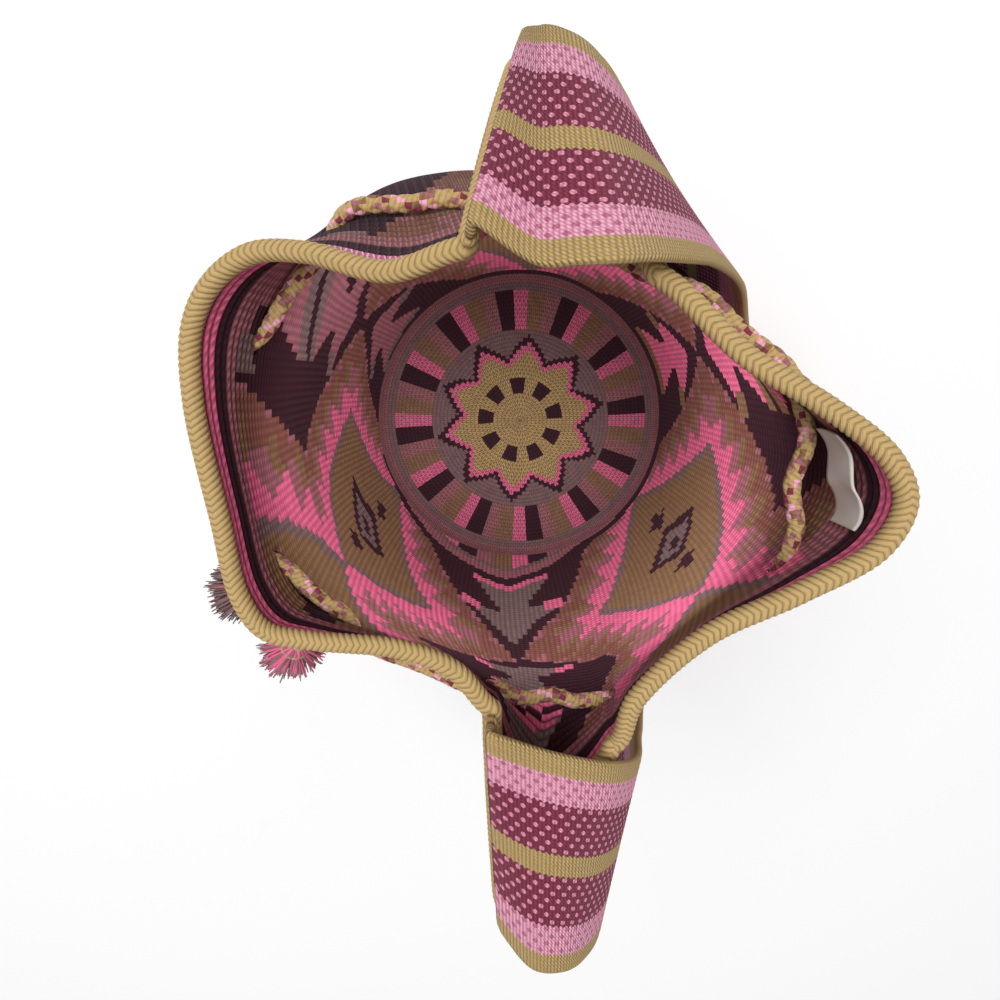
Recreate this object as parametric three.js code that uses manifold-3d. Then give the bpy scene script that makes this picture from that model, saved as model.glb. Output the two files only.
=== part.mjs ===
import * as THREE from 'three';
import { mergeVertices } from 'three/addons/utils/BufferGeometryUtils.js';
import Module from 'manifold-3d';

const wasm = await Module();
wasm.setup();

// Body sizes in millimetres
const baseRadius = 104;
const bagHeight = 265;
const wallThickness = 3;
const baseEdgeRadius = 14;
const bulgeMean = 0.1;
const bulgeSwing = 0.08;
const bulgeAngle = THREE.MathUtils.degToRad(150);
const leanPower = 4;
const ridgeHeight = 0.8;
const wallRidges = 11;
const floorRidges = 4;
const columns = 68;

// Rim, clearance and lips
const clearance = 0.3;
const rimRadius = 3.5;
const rimStitchDepth = 0.4;
const rimSteps = 150;
const rimSides = 7;
const lipStart = 0.72;
const lipPower = 3;
const lipRounding = 0.14;

// Strap
const strapWidth = 75;
const strapThickness = 3.5;
const strapEdge = 2;
const strapSteps = 96;
const joinHeight = 5;
const joinWidth = 7;

// Drawstring, tassels and label
const cordRadius = 3;
const cordDepth = 33;
const cordClearance = 0.5;
const cordSides = 6;
const tailSides = 8;
const tasselNeck = 5;
const tasselFlare = 18;
const tasselFlutes = 12;
const bindingRadius = 1.4;
const labelWidth = 16;
const labelThickness = 0.7;

// Radius and height of the measured bag: its outlines below widen and rise with the sizes above
const measuredRadius = 104;
const measuredHeight = 265;

function measured(across, back, height) {
  const spread = baseRadius / measuredRadius;
  return new THREE.Vector3(across * spread, back * spread, (height * bagHeight) / measuredHeight);
}

const khaki = 0xb8a05e;
const mauve = 0x9a6272;
const maroon = 0x7a3048;
const pink = 0xe0608a;
const greyMauve = 0x6e5560;
const offWhite = 0xe9e6de;

// Mouth outline without its lips: across, back, rise above the bag's height
const mouthPoints = [
  [105.5, 0.5, 35], [100.5, 13, 34], [84, 28, 30], [61, 44, 26], [34, 68, 19],
  [4, 74, 19], [-25, 75, 18], [-50, 69, 12], [-77, 75.5, 7], [-95, 75.5, 4],
  [-109, 67, 2], [-118, 53, 0], [-120, 29, 0], [-114, -13, 1], [-107.5, -41, 5],
  [-99, -52, 7], [-82, -55, 9], [-50, -57, 12], [-31, -64, 14], [-18, -78, 15],
  [6, -87, 15], [26, -93, 13], [32, -72, 19], [53, -46, 25], [79, -29, 31], [100, -14, 34],
];

// Each lip lies between two of those points and reaches out by its own vector; the setback
// is how far toward the mouth the strap's end starts from the lip's straight side
const lips = [
  { from: 4, to: 6, reach: measured(-12, 65, -39), setback: 18 },
  { from: 19, to: 21, reach: measured(-16, -70, 2), setback: 14 },
];

// Soft folds of the wall: where each is, how wide, and how far it pushes the wall
const folds = [
  { share: 0.3, width: 0.13, low: 0.5, high: 1, push: measured(-6, 17, 0) },
  { share: 0.12, width: 0.1, low: 0.6, high: 1.1, push: measured(-5, -5, 0) },
];

const mouthVectors = mouthPoints.map(([x, y, rise]) => measured(x, y, measuredHeight + rise));
const mouthCurve = new THREE.CatmullRomCurve3(mouthVectors, true, 'centripetal');
mouthCurve.arcLengthDivisions = 1200;

// Share of the mouth's length at which one of its points lies
function shareAtPoint(index) {
  const lengths = mouthCurve.getLengths();
  const place = (index / mouthPoints.length) * (lengths.length - 1);
  return lengths[Math.round(place)] / lengths[lengths.length - 1];
}

for (const lip of lips) {
  lip.start = shareAtPoint(lip.from);
  lip.end = shareAtPoint(lip.to);
}

// How far a lip has come out at a share of the mouth: 0 at its ends, 1 at its corner
function lipShape(lip, u) {
  const middle = (lip.start + lip.end) / 2;
  const rising = 1 - Math.abs(u - middle) / (middle - lip.start);
  if (rising <= 0) return 0;
  const most = Math.hypot(1, lipRounding);
  return (most - Math.hypot(1 - rising, lipRounding)) / (most - lipRounding);
}

// A smooth hump that is 1 in the middle of a range and 0 at its ends
function hump(value, low, high) {
  const part = THREE.MathUtils.clamp((value - low) / (high - low), 0, 1);
  return Math.sin(Math.PI * part) ** 2;
}

// A point of the wall's middle surface: u goes round the bag, v from the base to the rim
function wallPoint(u, v) {
  const share = u - Math.floor(u);
  const angle = share * 2 * Math.PI;
  const mouth = mouthCurve.getPointAt(share);
  const bulge = bulgeMean + bulgeSwing * Math.cos(angle - bulgeAngle);
  const radius = (baseRadius - wallThickness / 2) * (1 + bulge * Math.sin(Math.PI * v));
  const lean = v ** leanPower;
  const point = new THREE.Vector3(
    THREE.MathUtils.lerp(radius * Math.cos(angle), mouth.x, lean),
    THREE.MathUtils.lerp(radius * Math.sin(angle), mouth.y, lean),
    v * mouth.z,
  );
  const fade = Math.max(0, (v - lipStart) / (1 - lipStart)) ** lipPower;
  for (const lip of lips) point.addScaledVector(lip.reach, fade * lipShape(lip, share));
  for (const fold of folds) {
    const beside = hump(share, fold.share - fold.width, fold.share + fold.width);
    point.addScaledVector(fold.push, beside * hump(v, fold.low, fold.high));
  }
  return point;
}

const step = 1e-3;

function alongWall(u, v) {
  return wallPoint(u + step, v).sub(wallPoint(u - step, v)).normalize();
}

function upWall(u, v) {
  return wallPoint(u, v).sub(wallPoint(u, v - step)).divideScalar(step);
}

function wallNormal(u, v) {
  return alongWall(u, v).cross(upWall(u, v).normalize()).normalize();
}

function offsetWall(u, v, offset) {
  return wallPoint(u, v).addScaledVector(wallNormal(u, v), offset);
}

// Shares of the mouth that are evenly spaced along the rim with its lips
function evenShares(count) {
  const samples = 1600;
  const lengths = [0];
  for (let i = 1; i <= samples; i += 1) {
    const part = wallPoint(i / samples, 1).distanceTo(wallPoint((i - 1) / samples, 1));
    lengths.push(lengths[i - 1] + part);
  }
  const shares = [];
  let at = 0;
  for (let k = 0; k < count; k += 1) {
    const wanted = (lengths[samples] * k) / count;
    while (lengths[at + 1] < wanted) at += 1;
    shares.push((at + (wanted - lengths[at]) / (lengths[at + 1] - lengths[at])) / samples);
  }
  return shares;
}

// Closes rings of points into one skin: either an endless tube, or a body with two flat ends
function loft(rings, endless = false) {
  const size = rings[0].length;
  const positions = rings.flat().flatMap((point) => point.toArray());
  const faces = [];
  const last = endless ? rings.length : rings.length - 1;
  for (let i = 0; i < last; i += 1) {
    const low = i * size;
    const high = ((i + 1) % rings.length) * size;
    for (let j = 0; j < size; j += 1) {
      const next = (j + 1) % size;
      faces.push(low + j, low + next, high + next, low + j, high + next, high + j);
    }
  }
  if (!endless) {
    for (const end of [0, rings.length - 1]) {
      const centre = new THREE.Vector3();
      rings[end].forEach((point) => centre.addScaledVector(point, 1 / size));
      const hub = positions.length / 3;
      positions.push(...centre.toArray());
      for (let j = 0; j < size; j += 1) {
        const pair = [end * size + j, end * size + ((j + 1) % size)];
        if (end === 0) pair.reverse();
        faces.push(hub, ...pair);
      }
    }
  }
  return facingOut(positions, faces);
}

function facingOut(positions, faces) {
  const geometry = new THREE.BufferGeometry();
  geometry.setAttribute('position', new THREE.Float32BufferAttribute(positions, 3));
  let volume = 0;
  const corner = [new THREE.Vector3(), new THREE.Vector3(), new THREE.Vector3()];
  for (let i = 0; i < faces.length; i += 3) {
    corner.forEach((point, k) => point.fromArray(positions, faces[i + k] * 3));
    volume += corner[0].dot(corner[1].clone().cross(corner[2]));
  }
  geometry.setIndex(volume < 0 ? faces.reverse() : faces);
  return geometry;
}

function toManifold(geometry) {
  const bare = mergeVertices(geometry, 1e-4);
  const mesh = new wasm.Mesh({
    numProp: 3,
    vertProperties: new Float32Array(bare.attributes.position.array),
    triVerts: new Uint32Array(bare.index.array),
  });
  return new wasm.Manifold(mesh);
}

function fromManifold(body) {
  const mesh = body.getMesh();
  const geometry = new THREE.BufferGeometry();
  geometry.setAttribute('position', new THREE.BufferAttribute(mesh.vertProperties, 3));
  geometry.setIndex(new THREE.BufferAttribute(mesh.triVerts, 1));
  return geometry;
}

// A round or oval ring about a point
function ringAbout(centre, across, up, radiusAcross, radiusUp, sides) {
  const ring = [];
  for (let k = 0; k < sides; k += 1) {
    const turn = (k / sides) * 2 * Math.PI;
    const point = centre.clone().addScaledVector(across, radiusAcross * Math.cos(turn));
    ring.push(point.addScaledVector(up, radiusUp * Math.sin(turn)));
  }
  return ring;
}

// A cord of even thickness through a list of points
function cord(points, radius, sides) {
  const rings = [];
  let across = new THREE.Vector3(0, 0, 1);
  points.forEach((point, i) => {
    const ahead = points[Math.min(i + 1, points.length - 1)];
    const behind = points[Math.max(i - 1, 0)];
    const tangent = ahead.clone().sub(behind).normalize();
    across = across.clone().addScaledVector(tangent, -across.dot(tangent)).normalize();
    const up = tangent.clone().cross(across);
    rings.push(ringAbout(point, across, up, radius, radius, sides));
  });
  return loft(rings);
}

// Bag body: flat base, round edge and ridged wall in one crocheted skin
const columnShares = evenShares(columns);

function circleRing(radius, height) {
  return columnShares.map((u) => {
    const angle = u * 2 * Math.PI;
    return new THREE.Vector3(radius * Math.cos(angle), radius * Math.sin(angle), height);
  });
}

function rimSeat(u) {
  const rising = upWall(u, 1).cross(alongWall(u, 1)).length();
  return 1 - (rimRadius + 2 * clearance) / rising;
}

function edgeRings(radius, edge, height) {
  const rings = [];
  for (const degrees of [0, 30, 60]) {
    const turn = THREE.MathUtils.degToRad(degrees);
    const out = radius - edge + edge * Math.sin(turn);
    rings.push(circleRing(out, height + edge - edge * Math.cos(turn)));
  }
  return rings;
}

function wallRings(side, ridges) {
  const rings = [];
  const levels = ridges * 2;
  for (let i = 0; i <= levels; i += 1) {
    const ridge = i % 2 === 1 ? ridgeHeight : 0;
    rings.push(columnShares.map((u) => {
      const foot = baseEdgeRadius / wallPoint(u, 1).z;
      const v = THREE.MathUtils.lerp(foot, rimSeat(u), i / levels);
      return offsetWall(u, v, side * (wallThickness / 2 + ridge));
    }));
  }
  return rings;
}

function floorRings() {
  const rings = [];
  const reach = baseRadius - wallThickness - baseEdgeRadius;
  for (let i = floorRidges * 2; i >= 1; i -= 1) {
    const ridge = i % 2 === 1 ? ridgeHeight : 0;
    rings.push(circleRing((reach * i) / (floorRidges * 2 + 1), wallThickness + ridge));
  }
  return rings;
}

function bodySkin() {
  const outside = edgeRings(baseRadius, baseEdgeRadius, 0).concat(wallRings(1, wallRidges));
  const innerEdge = baseEdgeRadius - wallThickness / 2;
  const inside = edgeRings(baseRadius - wallThickness, innerEdge, wallThickness);
  const innerWall = wallRings(-1, Math.round(wallRidges * 0.6));
  const upInside = inside.concat(innerWall).reverse();
  return loft(outside.concat(upInside, floorRings()));
}

// Drawstring: laced through the wall at these shares of the mouth, first inside, then outside
const eyelets = [0.557, 0.625, 0.722, 0.804, 0.94, 0.055, 0.148, 0.256, 0.343, 0.423];
const spanSteps = 8;
const cordSteps = 100;
const exitShare = 0.006;
const cordOffset = wallThickness / 2 + ridgeHeight + cordRadius + cordClearance;

function cordLevel(u) {
  return 1 - cordDepth / mouthCurve.getPointAt(u - Math.floor(u)).z;
}

function besideCord(u, offset) {
  return offsetWall(u, cordLevel(u), offset);
}

function spanPoints(from, to, side) {
  const finish = to < from ? to + 1 : to;
  const start = besideCord(from, 0);
  const end = besideCord(finish, 0);
  const points = [];
  for (let k = 0; k < spanSteps; k += 1) {
    const part = k / spanSteps;
    const swell = Math.sin(Math.PI * part);
    const u = THREE.MathUtils.lerp(from, finish, part);
    const point = besideCord(u, side * cordOffset * Math.min(1, 1.9 * swell));
    if (side < 0) point.lerp(start.clone().lerp(end, part), 0.95 * swell ** 2);
    points.push(point);
  }
  return points;
}

function lacedPoints() {
  const first = eyelets[0];
  const last = eyelets[eyelets.length - 1];
  const points = [besideCord(first - exitShare, cordOffset)];
  for (let i = 0; i < eyelets.length - 1; i += 1) {
    points.push(...spanPoints(eyelets[i], eyelets[i + 1], i % 2 === 0 ? -1 : 1));
  }
  points.push(besideCord(last, 0), besideCord(last + exitShare, cordOffset));
  return new THREE.CatmullRomCurve3(points, false, 'centripetal').getSpacedPoints(cordSteps);
}

const laced = lacedPoints();

// Tassels hang outside under the rim: top of the head and middle of the fringe's end
const tassels = [
  { name: 'pink', color: pink, top: measured(-104, -79, 224), tip: measured(-121, -100, 182) },
  { name: 'grey', color: greyMauve, top: measured(-122, -54, 215), tip: measured(-146, -71, 177) },
];

// Tails: the two free ends of the drawstring, each from its last eyelet down to a tassel
function tailPoints(start, before, stations, tassel) {
  const away = start.clone().sub(before).normalize();
  const axis = tassel.tip.clone().sub(tassel.top).normalize();
  const points = [start.clone().addScaledVector(away, 2 * clearance)];
  points.push(start.clone().addScaledVector(away, 3 * cordRadius));
  for (const [u, v, offset] of stations) points.push(offsetWall(u, v, offset));
  points.push(tassel.top.clone().addScaledVector(axis, -3 * cordRadius));
  points.push(tassel.top.clone().addScaledVector(axis, -2 * clearance));
  return new THREE.CatmullRomCurve3(points, false, 'centripetal');
}

const shortTail = tailPoints(laced[0], laced[1], [[0.566, 0.85, 20], [0.59, 0.855, 16]], tassels[0]);
const longStations = [[0.445, 0.82, 14], [0.475, 0.77, 8], [0.51, 0.77, 8], [0.54, 0.8, 11]];
const longTail = tailPoints(laced[cordSteps], laced[cordSteps - 1], longStations, tassels[1]);

function tailSolid(curve) {
  const steps = Math.round(curve.getLength() / (2.5 * cordRadius));
  return cord(curve.getSpacedPoints(steps), cordRadius, tailSides);
}

// Tassel: head, neck and fluted fringe, with its top at the origin and its axis along +Z
function tasselSolid(length) {
  const profile = [
    [0, 3.4], [3, 6.4], [8, 7], [12, tasselNeck], [16, tasselNeck], [20, 7.5],
    [0.6 * length, 0.72 * tasselFlare], [length, tasselFlare], [0.96 * length, 0.5 * tasselFlare],
  ];
  const sides = tasselFlutes * 2;
  const rings = profile.map(([along, radius], level) => {
    const ring = [];
    for (let k = 0; k < sides; k += 1) {
      const turn = (k / sides) * 2 * Math.PI;
      const flute = level > 4 && k % 2 === 1 ? 0.88 : 1;
      const out = radius * flute;
      ring.push(new THREE.Vector3(out * Math.cos(turn), out * Math.sin(turn), along));
    }
    return ring;
  });
  return loft(rings);
}

// Rim edging: a rolled crochet border with a swelling at every second step
function rimSolid(extra = 0) {
  const rings = evenShares(rimSteps).map((u, i) => {
    const radius = rimRadius + extra - (i % 2 === 0 ? 0 : rimStitchDepth);
    const normal = wallNormal(u, 1);
    const up = normal.clone().cross(alongWall(u, 1));
    return ringAbout(wallPoint(u, 1), normal, up, radius, radius, rimSides);
  });
  return loft(rings, true);
}

// Each end of the strap stands on the side of a lip, called its ridge, and leans to the right
function ridgeOf(lip, cornerSide, lean) {
  const middleShare = (lip.start + lip.end) / 2;
  const rootShare = cornerSide > 0 ? lip.end : lip.start;
  const [low, high] = [0.15, 0.75].map((part) => {
    return wallPoint(THREE.MathUtils.lerp(rootShare, middleShare, part), 1);
  });
  const outward = high.clone().sub(low).normalize();
  const middle = low.clone().addScaledVector(outward, strapWidth / 2 - lip.setback);
  const lift = new THREE.Vector3(lean, 0, 1);
  lift.addScaledVector(outward, -lift.dot(outward)).normalize();
  return { outward, middle, lift };
}

const ridges = [ridgeOf(lips[0], 1, 0.12), ridgeOf(lips[1], -1, 0)];

// Strap join: a crochet seam along the ridge, between the rim and the strap's end
function joinSolid(ridge) {
  const side = ridge.outward.clone().cross(ridge.lift);
  const base = rimRadius + clearance;
  const rings = [-0.5, 0.5].map((end) => {
    const corners = [[-0.5, 0], [0.5, 0], [0.5, 1], [-0.5, 1]];
    return corners.map(([across, up]) => ridge.middle.clone()
      .addScaledVector(ridge.outward, end * strapWidth)
      .addScaledVector(side, across * joinWidth)
      .addScaledVector(ridge.lift, base + up * joinHeight));
  });
  return loft(rings);
}

// Strap route as measured: middle of the band, and the direction from its inner to its outer edge
const strapStations = [
  [[-4, 102, 289], [0.02, 0.93, -0.36]],
  [[3, 101, 293], [-0.05, 0.92, -0.39]],
  [[11, 100, 294], [-0.11, 0.89, -0.44]],
  [[20, 100, 287], [-0.16, 0.86, -0.49]],
  [[32, 101, 269], [-0.24, 0.83, -0.51]],
  [[46, 102, 241], [-0.33, 0.79, -0.52]],
  [[67, 99, 192], [-0.5, 0.74, -0.45]],
  [[89, 80, 132], [-0.63, 0.64, -0.44]],
  [[113, 63, 76], [-0.71, 0.41, -0.57]],
  [[142, 43, 36], [-0.72, 0.09, -0.69]],
  [[172, 20, 15], [-0.93, -0.15, -0.33]],
  [[192, -15, 0], [-0.98, -0.17, 0]],
  [[192, -48, 0], [-0.98, 0.17, 0]],
  [[174, -80, 15], [-0.93, 0.15, -0.33]],
  [[142, -98, 38], [-0.71, -0.08, -0.7]],
  [[103, -99, 85], [-0.7, -0.42, -0.57]],
  [[74, -118, 140], [-0.55, -0.7, -0.45]],
  [[43, -141, 195], [-0.34, -0.9, -0.28]],
  [[34, -144, 243], [-0.24, -0.97, -0.05]],
  [[30, -141, 270], [-0.18, -0.98, 0.04]],
  [[19, -132, 290], [-0.13, -0.99, 0.11]],
  [[8, -126, 298], [-0.05, -0.98, 0.17]],
  [[-5, -121, 300], [0, -0.98, 0.2]],
];

function ridgeStations(ridge) {
  const foot = rimRadius + joinHeight + 3 * clearance;
  return [0, 3, 6].map((rise) => {
    const centre = ridge.middle.clone().addScaledVector(ridge.lift, foot + rise);
    return [centre.toArray(), ridge.outward.toArray()];
  });
}

function strapSolid() {
  const start = ridgeStations(ridges[0]);
  const end = ridgeStations(ridges[1]).reverse();
  const between = strapStations.map(([place, width]) => [measured(...place).toArray(), width]);
  const stations = start.concat(between, end);
  const vectors = (column) => stations.map((station) => new THREE.Vector3(...station[column]));
  const route = new THREE.CatmullRomCurve3(vectors(0), false, 'centripetal');
  const edges = new THREE.CatmullRomCurve3(vectors(1), false, 'catmullrom', 0.5);
  const rings = [];
  for (let i = 0; i <= strapSteps; i += 1) {
    const t = i / strapSteps;
    const tangent = route.getTangent(t);
    const width = edges.getPoint(t).normalize();
    const normal = tangent.clone().cross(width).normalize();
    const centre = route.getPoint(t);
    const half = strapWidth / 2;
    const outline = [[-half, 0], [strapEdge - half, 1], [half - strapEdge, 1]];
    const section = outline.concat([[half, 0], [half - strapEdge, -1], [strapEdge - half, -1]]);
    const ring = section.map(([across, up]) => centre.clone()
      .addScaledVector(width, across)
      .addScaledVector(normal, (up * strapThickness) / 2));
    const sunk = clearance - Math.min(...ring.map((point) => point.z));
    if (sunk > 0) ring.forEach((point) => point.setZ(point.z + sunk));
    rings.push(ring);
  }
  return loft(rings);
}

// Label: a blank ribbon stitched inside the mouth by its two ends, standing off in the middle
const labelShares = [0.978, 0.04];
const labelRise = 0.935;
const labelCurl = 5;

function labelSolid() {
  const steps = 12;
  const seat = wallThickness / 2 + ridgeHeight + 2 * clearance + labelThickness / 2;
  const rings = [];
  for (let i = 0; i <= steps; i += 1) {
    const part = i / steps;
    const u = THREE.MathUtils.lerp(labelShares[0] - 1, labelShares[1], part);
    const away = seat + labelCurl * Math.sin(Math.PI * part) ** 2;
    const centre = offsetWall(u, labelRise, -away);
    const normal = wallNormal(u, labelRise);
    const up = upWall(u, labelRise).normalize();
    const corners = [[-0.5, -0.5], [0.5, -0.5], [0.5, 0.5], [-0.5, 0.5]];
    rings.push(corners.map(([high, deep]) => centre.clone()
      .addScaledVector(up, high * labelWidth)
      .addScaledVector(normal, deep * labelThickness)));
  }
  return loft(rings);
}

// The bag, piece by piece
const parts = new THREE.Group();

function addPart(name, geometry, color, roughness = 0.9) {
  const material = new THREE.MeshStandardMaterial({ color, roughness, metalness: 0 });
  const mesh = new THREE.Mesh(geometry, material);
  mesh.name = name;
  parts.add(mesh);
  return mesh;
}

const passage = toManifold(cord(laced, cordRadius + cordClearance, cordSides + 2));
const rimSpace = toManifold(rimSolid(clearance + rimStitchDepth / 2));
const lacedWall = toManifold(bodySkin()).subtract(passage).subtract(rimSpace);

addPart('bag_body', fromManifold(lacedWall), mauve);
addPart('rim_edging', rimSolid(), khaki);
addPart('strap', strapSolid(), maroon);
addPart('strap_join_rear', joinSolid(ridges[0]), khaki);
addPart('strap_join_front', joinSolid(ridges[1]), khaki);
addPart('drawstring', cord(laced, cordRadius, cordSides), khaki);
addPart('drawstring_tail_pink', tailSolid(shortTail), khaki);
addPart('drawstring_tail_grey', tailSolid(longTail), khaki);
addPart('label', labelSolid(), offWhite, 0.6);

for (const tassel of tassels) {
  const drop = tassel.tip.clone().sub(tassel.top);
  const fringe = addPart(`tassel_${tassel.name}`, tasselSolid(drop.length()), tassel.color);
  const ring = new THREE.TorusGeometry(tasselNeck + clearance + bindingRadius, bindingRadius, 5, 14);
  ring.translate(0, 0, 14);
  const binding = addPart(`tassel_binding_${tassel.name}`, ring, khaki);
  for (const mesh of [fringe, binding]) {
    mesh.position.copy(tassel.top);
    mesh.quaternion.setFromUnitVectors(new THREE.Vector3(0, 0, 1), drop.clone().normalize());
  }
}

export default parts;
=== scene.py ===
import functools
import math

import bmesh
import bpy
import numpy as np
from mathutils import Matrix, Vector


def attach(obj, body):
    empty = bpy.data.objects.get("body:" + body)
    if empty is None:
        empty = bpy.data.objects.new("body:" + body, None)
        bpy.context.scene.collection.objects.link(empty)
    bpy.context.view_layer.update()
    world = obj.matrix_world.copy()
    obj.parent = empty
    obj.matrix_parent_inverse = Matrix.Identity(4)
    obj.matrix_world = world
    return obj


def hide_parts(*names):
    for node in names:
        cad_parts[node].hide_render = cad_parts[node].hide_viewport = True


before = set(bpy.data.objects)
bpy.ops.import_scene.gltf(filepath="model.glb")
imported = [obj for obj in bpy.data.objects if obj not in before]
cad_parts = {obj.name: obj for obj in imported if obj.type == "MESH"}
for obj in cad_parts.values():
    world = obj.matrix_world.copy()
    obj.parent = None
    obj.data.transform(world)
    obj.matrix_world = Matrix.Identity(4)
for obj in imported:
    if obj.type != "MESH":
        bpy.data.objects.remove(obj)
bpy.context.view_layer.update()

MM = 0.001

# Sizes in millimetres, as in the part's source
BASE_RADIUS = 104
BAG_HEIGHT = 265
WALL_THICKNESS = 3
BASE_EDGE_RADIUS = 14
BULGE_MEAN = 0.1
BULGE_SWING = 0.08
BULGE_ANGLE = math.radians(150)
LEAN_POWER = 4
CLEARANCE = 0.3
RIM_RADIUS = 3.5
LIP_START = 0.72
LIP_POWER = 3
LIP_ROUNDING = 0.14
STRAP_WIDTH = 75
STRAP_THICKNESS = 3.5
JOIN_HEIGHT = 5
CORD_RADIUS = 3
CORD_DEPTH = 33
CORD_CLEARANCE = 0.5
RIDGE_HEIGHT = 0.8
TASSEL_NECK = 5
TASSEL_FLARE = 18
LABEL_WIDTH = 16
LABEL_THICKNESS = 0.7

MOUTH = [
    (105.5, 0.5, 35), (100.5, 13, 34), (84, 28, 30), (61, 44, 26), (34, 68, 19),
    (4, 74, 19), (-25, 75, 18), (-50, 69, 12), (-77, 75.5, 7), (-95, 75.5, 4),
    (-109, 67, 2), (-118, 53, 0), (-120, 29, 0), (-114, -13, 1), (-107.5, -41, 5),
    (-99, -52, 7), (-82, -55, 9), (-50, -57, 12), (-31, -64, 14), (-18, -78, 15),
    (6, -87, 15), (26, -93, 13), (32, -72, 19), (53, -46, 25), (79, -29, 31), (100, -14, 34),
]
LIPS = [
    {"from": 4, "to": 6, "reach": (-12, 65, -39), "setback": 18},
    {"from": 19, "to": 21, "reach": (-16, -70, 2), "setback": 14},
]
FOLDS = [
    {"share": 0.3, "width": 0.13, "low": 0.5, "high": 1, "push": (-6, 17, 0)},
    {"share": 0.12, "width": 0.1, "low": 0.6, "high": 1.1, "push": (-5, -5, 0)},
]


# Camera: straight into the bag from above, a little tilted, with a wide lens
LENS = 23.04
SENSOR = 36
NEAREST = 0.01
CAMERA_PLACE = (-0.0151, 0.0406, 0.486)
CAMERA_TILT = math.radians(-11.9)


def make_camera():
    data = bpy.data.cameras.new("camera")
    data.lens = LENS
    data.sensor_width = SENSOR
    data.clip_start = NEAREST
    camera = bpy.data.objects.new("camera", data)
    camera.location = CAMERA_PLACE
    camera.rotation_euler = (CAMERA_TILT, 0, 0)
    bpy.context.collection.objects.link(camera)
    bpy.context.scene.camera = camera


make_camera()


# Smooth curve through points, evaluated at many places at once
TOUCHING = 1e-4


def smooth_curve(points, places, closed=False, even=False):
    points = np.array(points, float)
    count = len(points)
    along = np.asarray(places, float) * (count if closed else count - 1)
    first = np.floor(along).astype(int)
    part = along - first
    if closed:
        near = [points[(first + d) % count] for d in (-1, 0, 1, 2)]
    else:
        late = first >= count - 1
        first = np.where(late, count - 2, first)
        part = np.where(late, 1.0, part)
        before = 2 * points[0] - points[1]
        after = 2 * points[-1] - points[-2]
        longer = np.vstack([before, points, after])
        near = [longer[first + d] for d in (0, 1, 2, 3)]
    if even:
        start = 0.5 * (near[2] - near[0])
        end = 0.5 * (near[3] - near[1])
    else:
        gaps = [((near[k + 1] - near[k]) ** 2).sum(-1, keepdims=True) ** 0.25 for k in range(3)]
        gaps[1] = np.where(gaps[1] < TOUCHING, 1, gaps[1])
        gaps[0] = np.where(gaps[0] < TOUCHING, gaps[1], gaps[0])
        gaps[2] = np.where(gaps[2] < TOUCHING, gaps[1], gaps[2])
        middle = (near[2] - near[1]) / gaps[1]
        start = (near[1] - near[0]) / gaps[0] - (near[2] - near[0]) / (gaps[0] + gaps[1]) + middle
        end = middle - (near[3] - near[1]) / (gaps[1] + gaps[2]) + (near[3] - near[2]) / gaps[2]
        start, end = start * gaps[1], end * gaps[1]
    part = part[..., None]
    bend = 3 * (near[2] - near[1]) - 2 * start - end
    twist = 2 * (near[1] - near[2]) + start + end
    return near[1] + part * (start + part * (bend + part * twist))


def running_length(points):
    steps = np.linalg.norm(np.diff(points, axis=0), axis=1)
    return np.concatenate([[0], np.cumsum(steps)])


def spaced_points(points, count, divisions=200):
    places = np.linspace(0, 1, divisions + 1)
    lengths = running_length(smooth_curve(points, places))
    wanted = np.linspace(0, lengths[-1], count + 1)
    return smooth_curve(points, np.interp(wanted, lengths, places))


MOUTH_STEPS = 1200
RIM_STEPS = 1600
MOUTH_POINTS = np.array([(x, y, BAG_HEIGHT + rise) for x, y, rise in MOUTH], float)
MOUTH_PLACES = np.linspace(0, 1, MOUTH_STEPS + 1)
MOUTH_LENGTHS = running_length(smooth_curve(MOUTH_POINTS, MOUTH_PLACES, closed=True))


def mouth_at(share):
    wanted = share * MOUTH_LENGTHS[-1]
    return smooth_curve(MOUTH_POINTS, np.interp(wanted, MOUTH_LENGTHS, MOUTH_PLACES), closed=True)


for lip in LIPS:
    ends = [round(lip[key] / len(MOUTH) * MOUTH_STEPS) for key in ("from", "to")]
    lip["start"], lip["end"] = (MOUTH_LENGTHS[k] / MOUTH_LENGTHS[-1] for k in ends)


def lip_shape(lip, share):
    middle = (lip["start"] + lip["end"]) / 2
    rising = 1 - np.abs(share - middle) / (middle - lip["start"])
    most = math.hypot(1, LIP_ROUNDING)
    shape = (most - np.hypot(1 - rising, LIP_ROUNDING)) / (most - LIP_ROUNDING)
    return np.where(rising <= 0, 0, shape)


def hump(value, low, high):
    part = np.clip((value - low) / (high - low), 0, 1)
    return np.sin(math.pi * part) ** 2


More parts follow.
